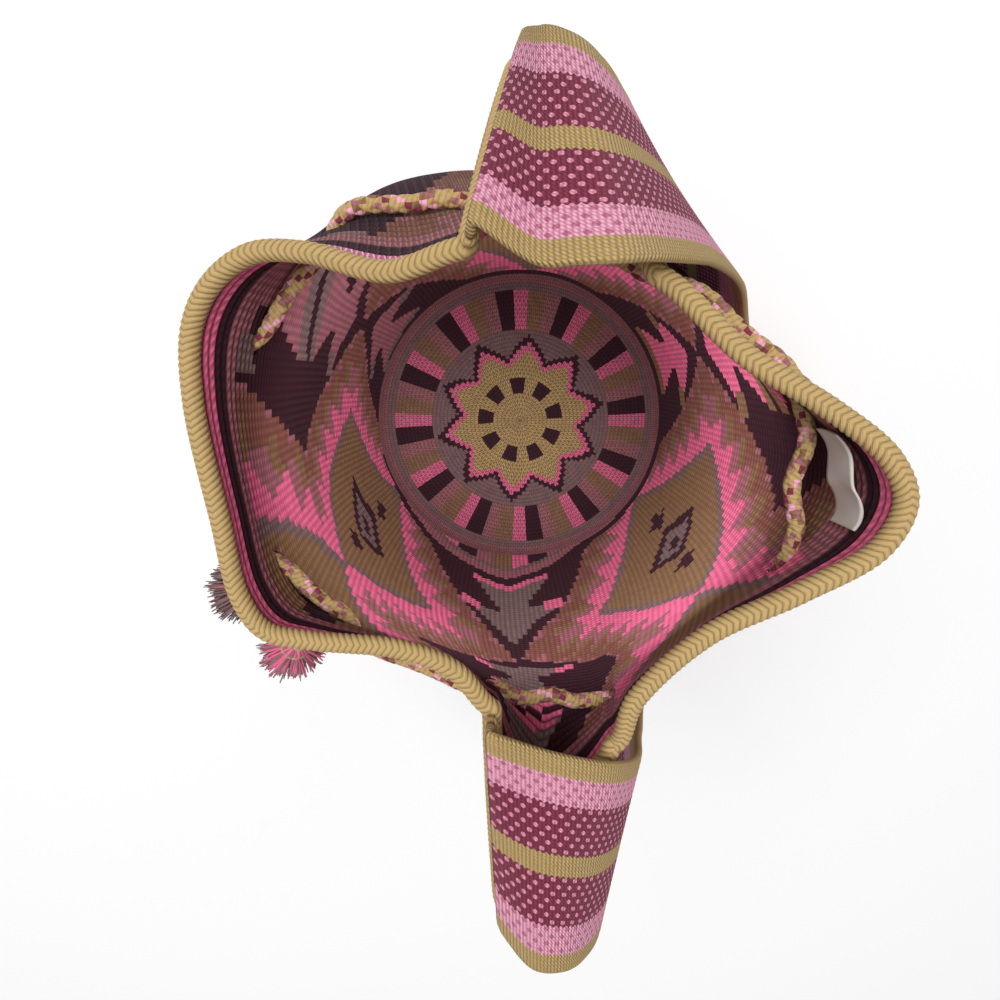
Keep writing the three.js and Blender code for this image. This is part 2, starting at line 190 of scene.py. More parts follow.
# A point of the wall's middle surface: u goes round the bag, v from the base to the rim
def wall_point(u, v):
    u, v = np.broadcast_arrays(np.asarray(u, float), np.asarray(v, float))
    share = u - np.floor(u)
    angle = share * 2 * math.pi
    mouth = mouth_at(share)
    bulge = BULGE_MEAN + BULGE_SWING * np.cos(angle - BULGE_ANGLE)
    radius = (BASE_RADIUS - WALL_THICKNESS / 2) * (1 + bulge * np.sin(math.pi * v))
    lean = v ** LEAN_POWER
    point = np.stack([
        (1 - lean) * radius * np.cos(angle) + lean * mouth[..., 0],
        (1 - lean) * radius * np.sin(angle) + lean * mouth[..., 1],
        v * mouth[..., 2],
    ], axis=-1)
    fade = np.maximum(0, (v - LIP_START) / (1 - LIP_START)) ** LIP_POWER
    for lip in LIPS:
        point = point + (fade * lip_shape(lip, share))[..., None] * np.array(lip["reach"])
    for fold in FOLDS:
        beside = hump(share, fold["share"] - fold["width"], fold["share"] + fold["width"])
        amount = beside * hump(v, fold["low"], fold["high"])
        point = point + amount[..., None] * np.array(fold["push"])
    return point


STEP = 1e-3


def unit(vectors):
    return vectors / np.linalg.norm(vectors, axis=-1, keepdims=True)


def along_wall(u, v):
    return unit(wall_point(u + STEP, v) - wall_point(u - STEP, v))


def up_wall(u, v):
    return (wall_point(u, v) - wall_point(u, v - STEP)) / STEP


def wall_normal(u, v):
    return unit(np.cross(along_wall(u, v), unit(up_wall(u, v))))


def offset_wall(u, v, offset):
    return wall_point(u, v) + wall_normal(u, v) * np.asarray(offset, float)[..., None]


def even_shares(count):
    samples = np.linspace(0, 1, RIM_STEPS + 1)
    lengths = running_length(wall_point(samples, 1.0))
    return np.interp(np.arange(count) / count * lengths[-1], lengths, samples)


def finish_mesh(bm, name):
    mesh = bpy.data.meshes.new(name)
    bm.to_mesh(mesh)
    bm.free()
    return mesh


# Closes rings of points into one skin: a grid is laid along them, rolled up and welded at its seam.
# Its vertices stay in the rings' order, so that patterns can be laid on them by number.
def roll_skin(name, rings, endless=False):
    rings = np.asarray(rings, float) * MM
    count, size = rings.shape[:2]
    bm = bmesh.new()
    bmesh.ops.create_grid(bm, x_segments=size, y_segments=count if endless else count - 1, size=1)
    bm.verts.ensure_lookup_table()
    verts = list(bm.verts)
    seam = {}
    for number, vert in enumerate(verts):
        ring, column = divmod(number, size + 1)
        ring, column = ring % count, column % size
        vert.co = rings[ring, column]
        home = ring * (size + 1) + column
        if home != number:
            seam[vert] = verts[home]
    bmesh.ops.weld_verts(bm, targetmap=seam)
    if not endless:
        bmesh.ops.edgeloop_fill(bm, edges=[edge for edge in bm.edges if edge.is_boundary])
    bmesh.ops.recalc_face_normals(bm, faces=bm.faces)
    mesh = finish_mesh(bm, name)
    mesh.shade_smooth()
    return mesh


# Ring and column numbers of each quad's corners, with the last column and ring closed up
def grid_numbers(mesh, size, count):
    totals = np.empty(len(mesh.polygons), int)
    starts = np.empty(len(mesh.polygons), int)
    mesh.polygons.foreach_get("loop_total", totals)
    mesh.polygons.foreach_get("loop_start", starts)
    corners = np.empty(len(mesh.loops), int)
    mesh.loops.foreach_get("vertex_index", corners)
    quads = np.nonzero(totals == 4)[0]
    loops = starts[quads][:, None] + np.arange(4)
    verts = corners[loops]
    ring, column = verts // size, verts % size
    wide = (column.max(1) - column.min(1) > size / 2)[:, None] & (column == 0)
    column = np.where(wide, size, column)
    wide = (ring.max(1) - ring.min(1) > count / 2)[:, None] & (ring == 0)
    ring = np.where(wide, count, ring)
    return quads, loops, ring, column


# Lays a pattern on a skin: uv[ring, column] at its corners, and one yarn number for each face
def lay_pattern(mesh, size, count, uv_at, yarn_at=None, wrong_side=None):
    quads, loops, ring, column = grid_numbers(mesh, size, count)
    layer = mesh.uv_layers.new(name="stitches")
    uv = np.zeros((len(mesh.loops), 2))
    low_ring = ring.min(1, keepdims=True)
    low_column = column.min(1, keepdims=True)
    uv[loops] = uv_at(ring, column, low_ring)
    layer.data.foreach_set("uv", uv.ravel())
    if yarn_at is not None:
        yarns = np.zeros(len(mesh.polygons))
        yarns[quads] = (yarn_at(low_ring[:, 0], low_column[:, 0]) + 0.5) / len(YARNS)
        mesh.attributes.new("yarn", "FLOAT", "FACE").data.foreach_set("value", yarns)
    if wrong_side is not None:
        slots = np.zeros(len(mesh.polygons), int)
        slots[quads] = wrong_side(low_ring[:, 0])
        mesh.polygons.foreach_set("material_index", slots)


def add_piece(mesh, slot, *nodes, materials):
    piece = bpy.data.objects.new(mesh.name, mesh)
    bpy.context.collection.objects.link(piece)
    for material in materials:
        mesh.materials.append(material)
    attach(piece, "root")
    if nodes:
        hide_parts(*nodes)
    return piece


# The yarns by number, and for each the one that is carried behind it and shows between its stitches
KHAKI, LIGHT_PINK, HOT_PINK, ROSE, OLIVE, TAUPE, BROWN, AUBERGINE, MAROON = range(9)
YARNS = ["bfa16c", "f0a6c0", "ee6f98", "a66772", "8d6b4b", "7f6766", "8a564b", "3b1624", "85324a"]
CARRIED = [OLIVE, HOT_PINK, ROSE, OLIVE, ROSE, ROSE, OLIVE, AUBERGINE, AUBERGINE]
YARN_STEPS = [(k / len(YARNS), code) for k, code in enumerate(YARNS)]
CARRIED_STEPS = [(k / len(YARNS), YARNS[pick]) for k, pick in enumerate(CARRIED)]


def linear(code):
    channels = [int(code[k:k + 2], 16) / 255 for k in (0, 2, 4)]
    return tuple(c / 12.92 if c <= 0.04045 else ((c + 0.055) / 1.055) ** 2.4 for c in channels) + (1,)


# Adds a node: its settings, then its inputs in order or by name. A node among its inputs is linked
# from its first live output, and a kind in capitals is what a math node works out.
def add_node(tree, kind, inputs=(), **settings):
    if kind.isupper():
        kind, settings = "Math", {"operation": kind}
    made = tree.nodes.new("ShaderNode" + kind)
    for key, value in settings.items():
        setattr(made, key, value)
    for key, value in inputs.items() if isinstance(inputs, dict) else enumerate(inputs):
        if isinstance(value, bpy.types.Node):
            value = next(socket for socket in value.outputs if socket.enabled)
        if isinstance(value, bpy.types.NodeSocket):
            tree.links.new(value, made.inputs[key])
        else:
            made.inputs[key].default_value = value
    return made


def start_material(name):
    material = bpy.data.materials.new(name)
    material.use_nodes = True
    material.node_tree.nodes.clear()
    return material, functools.partial(add_node, material.node_tree)


def finish_material(add, inputs, roughness=0.9, sheen=0.06):
    shader = add("BsdfPrincipled", {
        "Roughness": roughness, "IOR": 1.5, "Specular IOR Level": 0.25,
        "Sheen Weight": sheen, "Sheen Roughness": 0.5, **inputs,
    })
    add("OutputMaterial", {"Surface": shader})


# The colours of a mix node, by the numbers of its sockets
FIRST, SECOND = 6, 7


# Yarn is darkened by its own relief, a painted shade, and the same relief raises it
def finish_yarn(add, colour, value, height, relief, strength=1.0, roughness=0.9):
    tone = add("CombineColor", (value, value, value))
    colour = add("Mix", {0: 1.0, FIRST: colour, SECOND: tone}, data_type="RGBA", blend_type="MULTIPLY")
    bump = add("Bump", {"Height": height, "Strength": strength, "Distance": relief * MM})
    finish_material(add, {"Base Color": colour, "Normal": bump}, roughness)


# Makes a ramp plain steps of colour, from pairs of a place and a code
def set_steps(ramp, steps):
    ramp.color_ramp.interpolation = "CONSTANT"
    stops = ramp.color_ramp.elements
    for _ in steps[2:]:
        stops.new(1.0)
    for stop, (place, code) in zip(stops, steps):
        stop.position = place
        stop.color = linear(code)
    return ramp


# Mercerised cotton, crocheted: each stitch is a V of two slanting strands on the right side,
# and a short bar with a bead on the wrong side. One unit of the piece's own map is one stitch.
STRAND_FOOT = 0.1
STRAND_SPREAD = 0.26
STRAND_EDGE = (0.02, 0.2)
BAR_LEAN = 0.7
CARRIED_SHOWS = 0.5
STITCH_SWING = 0.2
STITCH_RELIEF = 0.8


def crochet_cotton(name, wrong_side=False):
    material, add = start_material(name)
    coords = add("UVMap", uv_map="stitches")
    column, level = add("SeparateXYZ", (coords,)).outputs[:2]
    across = add("SUBTRACT", (add("FRACT", (column,)), 0.5))
    wide = add("ABSOLUTE", (across,))
    rise = add("FRACT", (level,))
    swell = add("SINE", (add("MULTIPLY", (rise, math.pi)),))
    if wrong_side:
        lean = add("MULTIPLY_ADD", (rise, -BAR_LEAN, column))
        turn = add("MULTIPLY", (lean, 2 * math.pi))
        bead = add("MULTIPLY_ADD", (add("COSINE", (turn,)), 0.3, 0.7))
        height = add("MULTIPLY", (swell, bead))
    else:
        strand = add("MULTIPLY_ADD", (rise, STRAND_SPREAD, STRAND_FOOT))
        aside = add("ABSOLUTE", (add("SUBTRACT", (wide, strand)),))
        body = add("MapRange", (aside, *STRAND_EDGE, 1, 0), interpolation_type="SMOOTHSTEP")
        fullness = add("MULTIPLY_ADD", (swell, 0.5, 0.5))
        height = add("MULTIPLY", (body, fullness))
    # Each stitch's own shade, as hand tension and dye vary from stitch to stitch
    whole = add("VectorMath", (coords,), operation="FLOOR")
    shade = add("TexWhiteNoise", {"Vector": whole}, noise_dimensions="2D")
    # Plies of the yarn, twisted across each strand: they raise its bump, and a faint painted shade lies in
    # their grooves
    twist = add("MULTIPLY_ADD", (rise, 3.0, add("MULTIPLY", (wide, 5.0))))
    plies = add("SINE", (add("MULTIPLY", (twist, 2 * math.pi)),))
    yarn = add("Attribute", attribute_name="yarn").outputs["Fac"]
    gap = add("MapRange", (height, 0.0, 0.3, CARRIED_SHOWS, 0.0), interpolation_type="SMOOTHSTEP")
    colour = add("Mix", {
        0: gap, FIRST: set_steps(add("ValToRGB", (yarn,)), YARN_STEPS),
        SECOND: set_steps(add("ValToRGB", (yarn,)), CARRIED_STEPS),
    }, data_type="RGBA")
    value = add("MULTIPLY_ADD", (shade, STITCH_SWING, 0.98))
    # Painted shade: each stitch darker where it sinks between its neighbours
    painted_relief_shade = add("MULTIPLY_ADD", (height, 0.66, 0.54))
    value = add("MULTIPLY", (value, painted_relief_shade))
    value = add("MULTIPLY_ADD", (plies, 0.03, value))
    # Shadow between one round and the next
    middle = add("ABSOLUTE", (add("SUBTRACT", (rise, 0.5)),))
    shadow = add("MapRange", (middle, 0.3, 0.5, 1.05, 0.66), interpolation_type="SMOOTHSTEP")
    value = add("MULTIPLY", (value, shadow))
    lifted = add("MULTIPLY_ADD", (plies, 0.06, height))
    finish_yarn(add, colour, value, lifted, STITCH_RELIEF)
    return material


right_side_cotton = crochet_cotton("crochet_cotton_right_side")
wrong_side_cotton = crochet_cotton("crochet_cotton_wrong_side", wrong_side=True)


# Pattern of the base and the wall: columns of stitches round the bag, and length from the centre
STITCHES = 216
ROUND = 2.85
STITCH = 2.9
FLAT = BASE_RADIUS - BASE_EDGE_RADIUS
BEND = BASE_EDGE_RADIUS * math.pi / 2

# Base: angles in degrees, and lengths in millimetres from the centre
STAR_POINTS = 10
STAR_START = 84
STAR_EDGES = [(46, 17, AUBERGINE), (42.5, 15, HOT_PINK), (39, 12.5, KHAKI)]
BARS = [AUBERGINE, HOT_PINK, OLIVE, ROSE]
BAR_TURN = 7.5
BARS_START = 101
BARS_ZONE = (66, 94.6)
BLOCK_TURN = 40
BLOCK_WIDTH = 22
BLOCKS_START = 3
BLOCKS_ZONE = (21, 31)
BASE_BORDER = 100


def base_pattern(angle, length):
    degrees = np.degrees(angle)
    turn = (degrees - STAR_START) % (360 / STAR_POINTS) * STAR_POINTS / 360
    point = np.abs(turn - 0.5) * 2
    bar = (BARS_START - degrees) % (BAR_TURN * len(BARS)) / BAR_TURN
    bars = np.choose(np.clip(bar.astype(int), 0, len(BARS) - 1), BARS)
    yarn = np.where((length > BARS_ZONE[0]) & (length < BARS_ZONE[1]), bars, TAUPE)
    for middle, reach, number in STAR_EDGES:
        yarn = np.where(length < middle + reach * point, number, yarn)
    block = (degrees - BLOCKS_START) % BLOCK_TURN < BLOCK_WIDTH
    yarn = np.where((length > BLOCKS_ZONE[0]) & (length < BLOCKS_ZONE[1]) & block, AUBERGINE, yarn)
    return np.where(length > BASE_BORDER, ROSE, yarn)


# Wall: three repeats of a toothed diamond and a dark rhomb with a tree in it, in stitches and rounds
REPEATS = 3
SPAN = STITCHES / REPEATS
HALF = SPAN / 2
RHOMB_CENTRE = 15.8
RHOMB_LEVEL = 6.5
RHOMB_RISE = 32
RHOMB_SLOPE = 0.66
DIAMOND_SLOPE = 0.61
TOOTH = 5.6
TOOTH_SHIFTS = (0, 2.4)
FOOT_BAND = 8.2
# Borders round the diamond, from the outermost: how far out, its teeth's length and set, and its yarn
BORDERS = [(13, 4, 1, BROWN), (8, 5, 0, OLIVE), (6, 5, 1, ROSE), (2.5, 5.5, 0, HOT_PINK),
           (0, 0, 0, TAUPE), (-1.8, 0, 0, OLIVE)]
# Dark spots on the diamond's long axis: from and to, half-width at the start, and its growth
SPOTS = [(9, 13, 0, 0.8), (13, 15.5, 1.3, 0)]
RING_SIZE = 6.7
RING_EDGES = (0.3, 0.75, 1.15)
# The tree's parts, in the same way, and its barbs: from and to, inner and outer half-width
TREE = [(6, 17, 0, 0.95), (17, 19.5, 3.2, 0), (19.5, 28, 3, 0.6)]
BARBS = [(14.5, 18, 6.5, 10.5), (28, 31, 0, 8.6)]
TREE_BODIES = [HOT_PINK, ROSE, TAUPE]
TREE_BARBS = [OLIVE, TAUPE, HOT_PINK]


def in_parts(aside, level, parts):
    return np.any([(level >= low) & (level < high) & (aside < start + (level - low) * growth)
                   for low, high, start, growth in parts], axis=0)


def tree_motif(aside, level, repeat):
    barbs = np.any([(level >= low) & (level < high) & (aside >= inner) & (aside < outer)
                    for low, high, inner, outer in BARBS], axis=0)
    yarn = np.where(in_parts(aside, level, TREE), np.choose(repeat, TREE_BODIES), AUBERGINE)
    return np.where(barbs, np.choose(repeat, TREE_BARBS), yarn)


def wall_pattern(column, level):
    place = (column - RHOMB_CENTRE + HALF) % STITCHES
    repeat = np.floor(place / SPAN).astype(int) % REPEATS
    aside = np.abs(place % SPAN - HALF)
    other = HALF - aside
    reach = np.abs((level - RHOMB_LEVEL) % (2 * RHOMB_RISE) - RHOMB_RISE)
    past = other - DIAMOND_SLOPE * (RHOMB_RISE - reach)
    teeth = [((reach + shift) % TOOTH) / TOOTH for shift in TOOTH_SHIFTS]
    yarn = np.full(np.shape(level), ROSE)
    for out, tooth, row, number in BORDERS:
        yarn = np.where(past < out + tooth * teeth[row], number, yarn)
    inside = past < BORDERS[-1][0]
    ring = (other + reach) / RING_SIZE
    heart, inner, outer = RING_EDGES
    yarn = np.where(inside & (ring < inner), TAUPE, yarn)
    dark = ((ring > inner) & (ring < outer)) | (ring < heart) | in_parts(other, reach, SPOTS)
    yarn = np.where(inside & dark, AUBERGINE, yarn)
    rhomb = tree_motif(aside, reach, repeat)
    yarn = np.where(aside < RHOMB_SLOPE * reach + 0.5, rhomb, yarn)
    return np.where(level < FOOT_BAND, AUBERGINE, yarn)


def pattern(column, length):
    angle = column / STITCHES * 2 * math.pi
    level = (length - FLAT - BEND + BASE_EDGE_RADIUS) / ROUND
    return np.where(length < FLAT + BEND, base_pattern(angle, length), wall_pattern(column, level))


# Bag wall: outside and inside of one crocheted skin, two rows of faces to a round of stitches
WALL_ROUNDS = 87
RELIEF = 0.35
# Plain stripes under the rim: rounds from the top, and their yarn outside and inside
EDGE_STRIPES = [(6, ROSE, ROSE), (4, AUBERGINE, AUBERGINE), (2, LIGHT_PINK, HOT_PINK)]
EYELET_RADIUS = 4.2
EYELETS = [0.557, 0.625, 0.722, 0.804, 0.94, 0.055, 0.148, 0.256, 0.343, 0.423]


def rim_seat(u):
    rising = np.linalg.norm(np.cross(up_wall(u, 1.0), along_wall(u, 1.0)), axis=-1)
    return 1 - (RIM_RADIUS + 2 * CLEARANCE) / rising


def cord_level(u):
    return 1 - CORD_DEPTH / mouth_at(u - np.floor(u))[..., 2]


def wall_grid(rows, side):
    level = np.arange(rows + 1)[:, None] / rows
    plain = np.arange(STITCHES) / STITCHES
    even = even_shares(STITCHES)
    foot = BASE_EDGE_RADIUS / wall_point(plain, 1.0)[:, 2]
    u = plain + (even - plain) * level ** 3
    v = foot + (rim_seat(even) - foot) * level
    crest = np.where(np.arange(rows + 1) % 2 == 1, RELIEF, -RELIEF)[:, None]
    return offset_wall(u, v, np.broadcast_to(side * (WALL_THICKNESS / 2 + crest), u.shape))


# The soft wall gives way between the hands that hold the mouth open, and its rounds with it: each slip
# has shares round the bag with millimetres there, and parts of the way up with how much of it they take
SLIPS = [
    ((0.36, 0.45, 0.51, 0.585, 0.64, 0.7), (0, 45, 47, 14, 0, 0), (0, 0.2, 0.6, 0.95), (0.2, 1, 1, 0)),
    ((0.5, 0.56, 0.6, 0.66), (0, 29, 27, 0), (0.38, 0.6, 0.8, 1), (0, 1, 1, 0.35)),
    ((0.58, 0.63, 0.68, 0.735, 0.78, 0.82, 0.9), (0, -20, -48, -80, -48, -8, 0),
     (0, 0.17, 0.45, 0.7, 0.87, 1), (0.5625, 0.5625, 0.75, 1, 0.4, 0)),
    ((0.76, 0.81, 0.86, 0.905, 0.96), (0, -32, -22, -16, 0), (0.1, 0.45, 0.75), (0, 1, 0)),
]
SIDE_SLIP = ((0.52, 0.58, 0.64), (0, 2.6, 0))


def slipped(column, length):
    share = column / STITCHES
    part = (length - FLAT - BEND) / (WALL_ROUNDS * ROUND)
    slip = sum(np.interp(share, around, most) * np.interp(part, up, amount)
               for around, most, up, amount in SLIPS)
    return column - np.interp(share, *SIDE_SLIP), length + slip


def make_wall():
    rows = WALL_ROUNDS * 2
    outside, inside = wall_grid(rows, 1), wall_grid(rows, -1)
    rings = np.concatenate([outside, inside[::-1]])
    mesh = roll_skin("crochet_wall", rings, endless=True)

    def uv_at(ring, column, low_ring):
        level = np.where(low_ring > rows, (2 * rows + 1 - ring) / 2, ring / 2)
        return np.stack([column.astype(float), level], axis=-1)

    def yarn_at(ring, column):
        on_outside = ring < rows
        row = np.where(on_outside, ring, 2 * rows - ring)
        level = np.clip(row // 2, 0, WALL_ROUNDS - 1)
        length = FLAT + BEND + (level + 0.5) * ROUND
        middle = column + 0.5
        columns, lengths = slipped(middle, length)
        yarn = pattern(np.where(on_outside, middle, columns), np.where(on_outside, length, lengths))
        for rounds, outer, inner in EDGE_STRIPES:
            stripe = np.where(on_outside, outer, inner)
            yarn = np.where(WALL_ROUNDS - 1 - level < rounds, stripe, yarn)
        return yarn

    lay_pattern(mesh, STITCHES, len(rings), uv_at, yarn_at, lambda ring: (ring > rows).astype(int))
    open_eyelets(mesh)
    return add_piece(mesh, "crochet_wall", "bag_body", materials=[right_side_cotton, wrong_side_cotton])


# Opens the wall where the drawstring goes through, and joins each hole's two edges
def open_eyelets(mesh):
    centres = np.empty(len(mesh.polygons) * 3)
    mesh.polygons.foreach_get("center", centres)
    centres = centres.reshape(-1, 3) / MM
    holes = []
    for share in EYELETS:
        u = np.array(share)
        away = np.linalg.norm(centres - wall_point(u, cord_level(u)), axis=1)
        holes.append(np.nonzero(away < EYELET_RADIUS)[0])
    bm = bmesh.new()
    bm.from_mesh(mesh)
    bm.faces.ensure_lookup_table()
    holes = [[bm.faces[number] for number in hole] for hole in holes]
    for faces in holes:
        edges = {edge for face in faces for edge in face.edges}
        bmesh.ops.delete(bm, geom=faces, context="FACES_ONLY")
        edges = [edge for edge in edges if edge.is_valid and edge.is_boundary]
        bmesh.ops.bridge_loops(bm, edges=edges)
    loose = [vert for vert in bm.verts if not vert.link_faces]
    bmesh.ops.delete(bm, geom=loose, context="VERTS")
    bmesh.ops.recalc_face_normals(bm, faces=bm.faces)
    bm.to_mesh(mesh)
    bm.free()


# Bag base: flat disc and rounded edge, worked in rounds from the centre
BASE_ROUNDS = round((FLAT + BEND) / ROUND)


def base_ring(length, side, lift):
    share = np.arange(STITCHES) / STITCHES
    angle = share * 2 * math.pi
    turn = max(0, (length - FLAT)) / BASE_EDGE_RADIUS
    foot = wall_point(share, BASE_EDGE_RADIUS / wall_point(share, 1.0)[:, 2])
    swell = np.hypot(foot[:, 0], foot[:, 1]) - BASE_RADIUS + WALL_THICKNESS / 2
    radius = BASE_EDGE_RADIUS
    if side < 0:
        radius -= WALL_THICKNESS
    out = min(length, FLAT) + (radius + lift) * math.sin(turn) + swell * math.sin(turn) ** 2
    height = BASE_EDGE_RADIUS - (radius + lift) * math.cos(turn)
    return np.stack([out * np.cos(angle), out * np.sin(angle), np.full(STITCHES, height)], axis=-1)


def make_base():
    rows = BASE_ROUNDS * 2
    lengths = np.arange(1, rows + 1) * (FLAT + BEND) / rows
    crest = [RELIEF if k % 2 == 0 else 0 for k in range(rows)]
    outside = [base_ring(s, 1, -0.1 - (RELIEF - c)) for s, c in zip(lengths, crest)]
    inside = [base_ring(s, -1, -1.8 * c) for s, c in zip(lengths, crest)]
    rings = np.array(outside + inside[::-1])
    mesh = roll_skin("crochet_base", rings)
    around = np.maximum(6, np.round(2 * math.pi * np.arange(BASE_ROUNDS + 1) * ROUND / STITCH))

    def row_of(ring):
        return np.where(ring < rows, ring + 1, 2 * rows - ring)

    def uv_at(ring, column, low_ring):
        low = np.where(low_ring < rows, row_of(low_ring), row_of(low_ring) - 1)
        stitches = around[np.clip(low // 2 + 1, 0, BASE_ROUNDS)]
        return np.stack([column * stitches / STITCHES, row_of(ring) / 2.0], axis=-1)

    def yarn_at(ring, column):
        low = np.where(ring < rows, row_of(ring), row_of(ring) - 1)
        number = np.clip(low // 2, 0, BASE_ROUNDS - 1)
        return pattern(column + 0.5, (number + 0.5) * (FLAT + BEND) / BASE_ROUNDS)

    lay_pattern(mesh, STITCHES, len(rings), uv_at, yarn_at, lambda ring: (ring >= rows).astype(int))
    return add_piece(mesh, "crochet_wall", "bag_body", materials=[right_side_cotton] * 2)


# A cord or roll through points: radius_at(along, turn) gives its surface in millimetres
def tube_rings(points, radius_at, sides, closed=False, up=None):
    points = np.asarray(points, float)
    lengths = running_length(points)
    across = np.array([0, 0, 1.0])
    rings = []
    count = len(points)
    for i, point in enumerate(points):
        if closed:
            tangent = unit(points[(i + 1) % count] - points[i - 1])
        else:
            tangent = unit(points[min(i + 1, count - 1)] - points[max(i - 1, 0)])
        if up is not None:
            across = up[i]
        across = unit(across - tangent * np.dot(across, tangent))
        beside = np.cross(tangent, across)
        turn = np.arange(sides) / sides * 2 * math.pi
        radius = radius_at(lengths[i], turn)
        rings.append(point + radius[:, None] * (
            np.cos(turn)[:, None] * across + np.sin(turn)[:, None] * beside))
    return np.array(rings)


# Rim: rolled crochet edging, a row of chevron stitches that meet on its crest
EDGING_STITCH = 2.3
EDGING_SLANT = 2.2
EDGING_SIDES = 18
STEPS_A_STITCH = 5
CREST_WIDTH = 0.22


def from_crest(turn):
    return np.abs((turn + math.pi) % (2 * math.pi) - math.pi)


def chevron_radius(radius, pitch, depth, notch):
    def radius_at(along, turn):
        from_top = from_crest(turn)
        phase = along / pitch + EDGING_SLANT * from_top / math.pi
        groove = np.exp(-(from_top / CREST_WIDTH) ** 2)
        return radius - depth + depth * np.abs(np.sin(math.pi * phase)) - notch * groove
    return radius_at


def plain_khaki(ring, column):
    return np.full(len(ring), KHAKI)


# A roll of edging from its rings: row_at gives how many stitches along it a ring is
def add_edging(name, rings, row_at, node, endless=False):
    def uv_at(ring, column, low_ring):
        aside = from_crest(column / EDGING_SIDES * 2 * math.pi) / math.pi
        return np.stack([4 * aside, row_at(ring) + EDGING_SLANT * aside], axis=-1)

    mesh = roll_skin(name, rings, endless)
    lay_pattern(mesh, EDGING_SIDES, len(rings), uv_at, plain_khaki)
    add_piece(mesh, "khaki_crochet", node, materials=[edging_cotton])


def make_rim():
    total = running_length(wall_point(np.linspace(0, 1, RIM_STEPS + 1), 1.0))[-1]
    stitches = round(total / EDGING_STITCH)
    shares = even_shares(stitches * STEPS_A_STITCH)
    up = np.cross(wall_normal(shares, 1.0), along_wall(shares, 1.0))
    radius_at = chevron_radius(RIM_RADIUS + 0.1, total / stitches, 0.5, 0.4)
    rings = tube_rings(wall_point(shares, 1.0), radius_at, EDGING_SIDES, closed=True, up=up)
    add_edging("rolled_rim", rings, lambda ring: ring / STEPS_A_STITCH, "rim_edging", endless=True)


# Plied cotton: one unit up the map is one stitch or strand, with a painted shadow between it and the next,
# and fine plies that run along it, with a faint painted shade in their grooves
def plied_cotton(name, shadow):
    material, add = start_material(name)
    coords = add("UVMap", uv_map="stitches")
    across, along = add("SeparateXYZ", (coords,)).outputs[:2]
    turn = add("MULTIPLY", (along, math.pi))
    bead = add("ABSOLUTE", (add("SINE", (turn,)),))
    twist = add("MULTIPLY", (along, 6 * math.pi))
    twist = add("MULTIPLY_ADD", (across, 9.0, twist))
    plies = add("SINE", (twist,))
    noise = add("TexNoise", {"Vector": coords, "Scale": 2.3, "Detail": 3.0})
    yarn = add("Attribute", attribute_name="yarn").outputs["Fac"]
    colour = set_steps(add("ValToRGB", (yarn,)), YARN_STEPS)
    value = add("MULTIPLY_ADD", (noise, 0.3, 0.9 - shadow))
    body = add("MapRange", (bead, 0.1, 0.75, 0, 1), interpolation_type="SMOOTHSTEP")
    value = add("MULTIPLY_ADD", (body, shadow, value))
    # Painted shade in the grooves between the plies
    value = add("MULTIPLY_ADD", (plies, 0.04, value))
    lifted = add("MULTIPLY_ADD", (plies, 0.12, bead))
    finish_yarn(add, colour, value, lifted, 0.4, strength=0.8, roughness=0.85)
    return material


edging_cotton = plied_cotton("plied_cotton_edging", 0.42)
cord_cotton = plied_cotton("plied_cotton_cord", 0.2)


# Strap: a hand-woven band, one face to half a warp row, with a rib at every row
STRAP_STATIONS = [
    ((-4, 102, 289), (0.02, 0.93, -0.36)), ((3, 101, 293), (-0.05, 0.92, -0.39)),
    ((11, 100, 294), (-0.11, 0.89, -0.44)), ((20, 100, 287), (-0.16, 0.86, -0.49)),
    ((32, 101, 269), (-0.24, 0.83, -0.51)), ((46, 102, 241), (-0.33, 0.79, -0.52)),
    ((67, 99, 192), (-0.5, 0.74, -0.45)), ((89, 80, 132), (-0.63, 0.64, -0.44)),
    ((113, 63, 76), (-0.71, 0.41, -0.57)), ((142, 43, 36), (-0.72, 0.09, -0.69)),
    ((172, 20, 15), (-0.93, -0.15, -0.33)), ((192, -15, 0), (-0.98, -0.17, 0)),
    ((192, -48, 0), (-0.98, 0.17, 0)), ((174, -80, 15), (-0.93, 0.15, -0.33)),
    ((142, -98, 38), (-0.71, -0.08, -0.7)), ((103, -99, 85), (-0.7, -0.42, -0.57)),
    ((74, -118, 140), (-0.55, -0.7, -0.45)), ((43, -141, 195), (-0.34, -0.9, -0.28)),
    ((34, -144, 243), (-0.24, -0.97, -0.05)), ((30, -141, 270), (-0.18, -0.98, 0.04)),
    ((19, -132, 290), (-0.13, -0.99, 0.11)), ((8, -126, 298), (-0.05, -0.98, 0.17)),
    ((-5, -121, 300), (0, -0.98, 0.2)),
]
STRAP_ROWS = 31
STRAP_RINGS = 480
STRAP_RELIEF = 0.15
STRAP_EDGE = 2.5
EDGE_THICKNESS = 0.35


def ridge_of(lip, corner_side, lean):
    middle_share = (lip["start"] + lip["end"]) / 2
    root = lip["end"] if corner_side > 0 else lip["start"]
    low, high = (wall_point(root + (middle_share - root) * part, 1.0) for part in (0.15, 0.75))
    outward = unit(high - low)
    middle = low + outward * (STRAP_WIDTH / 2 - lip["setback"])
    lift = np.array([lean, 0, 1])
    lift = unit(lift - outward * np.dot(lift, outward))
    return outward, middle, lift


RIDGES = [ridge_of(LIPS[0], 1, 0.12), ridge_of(LIPS[1], -1, 0)]


def ridge_stations(ridge):
    outward, middle, lift = ridge
    foot = RIM_RADIUS + JOIN_HEIGHT + 3 * CLEARANCE
    return [(tuple(middle + lift * (foot + rise)), tuple(outward)) for rise in (0, 3, 6)]


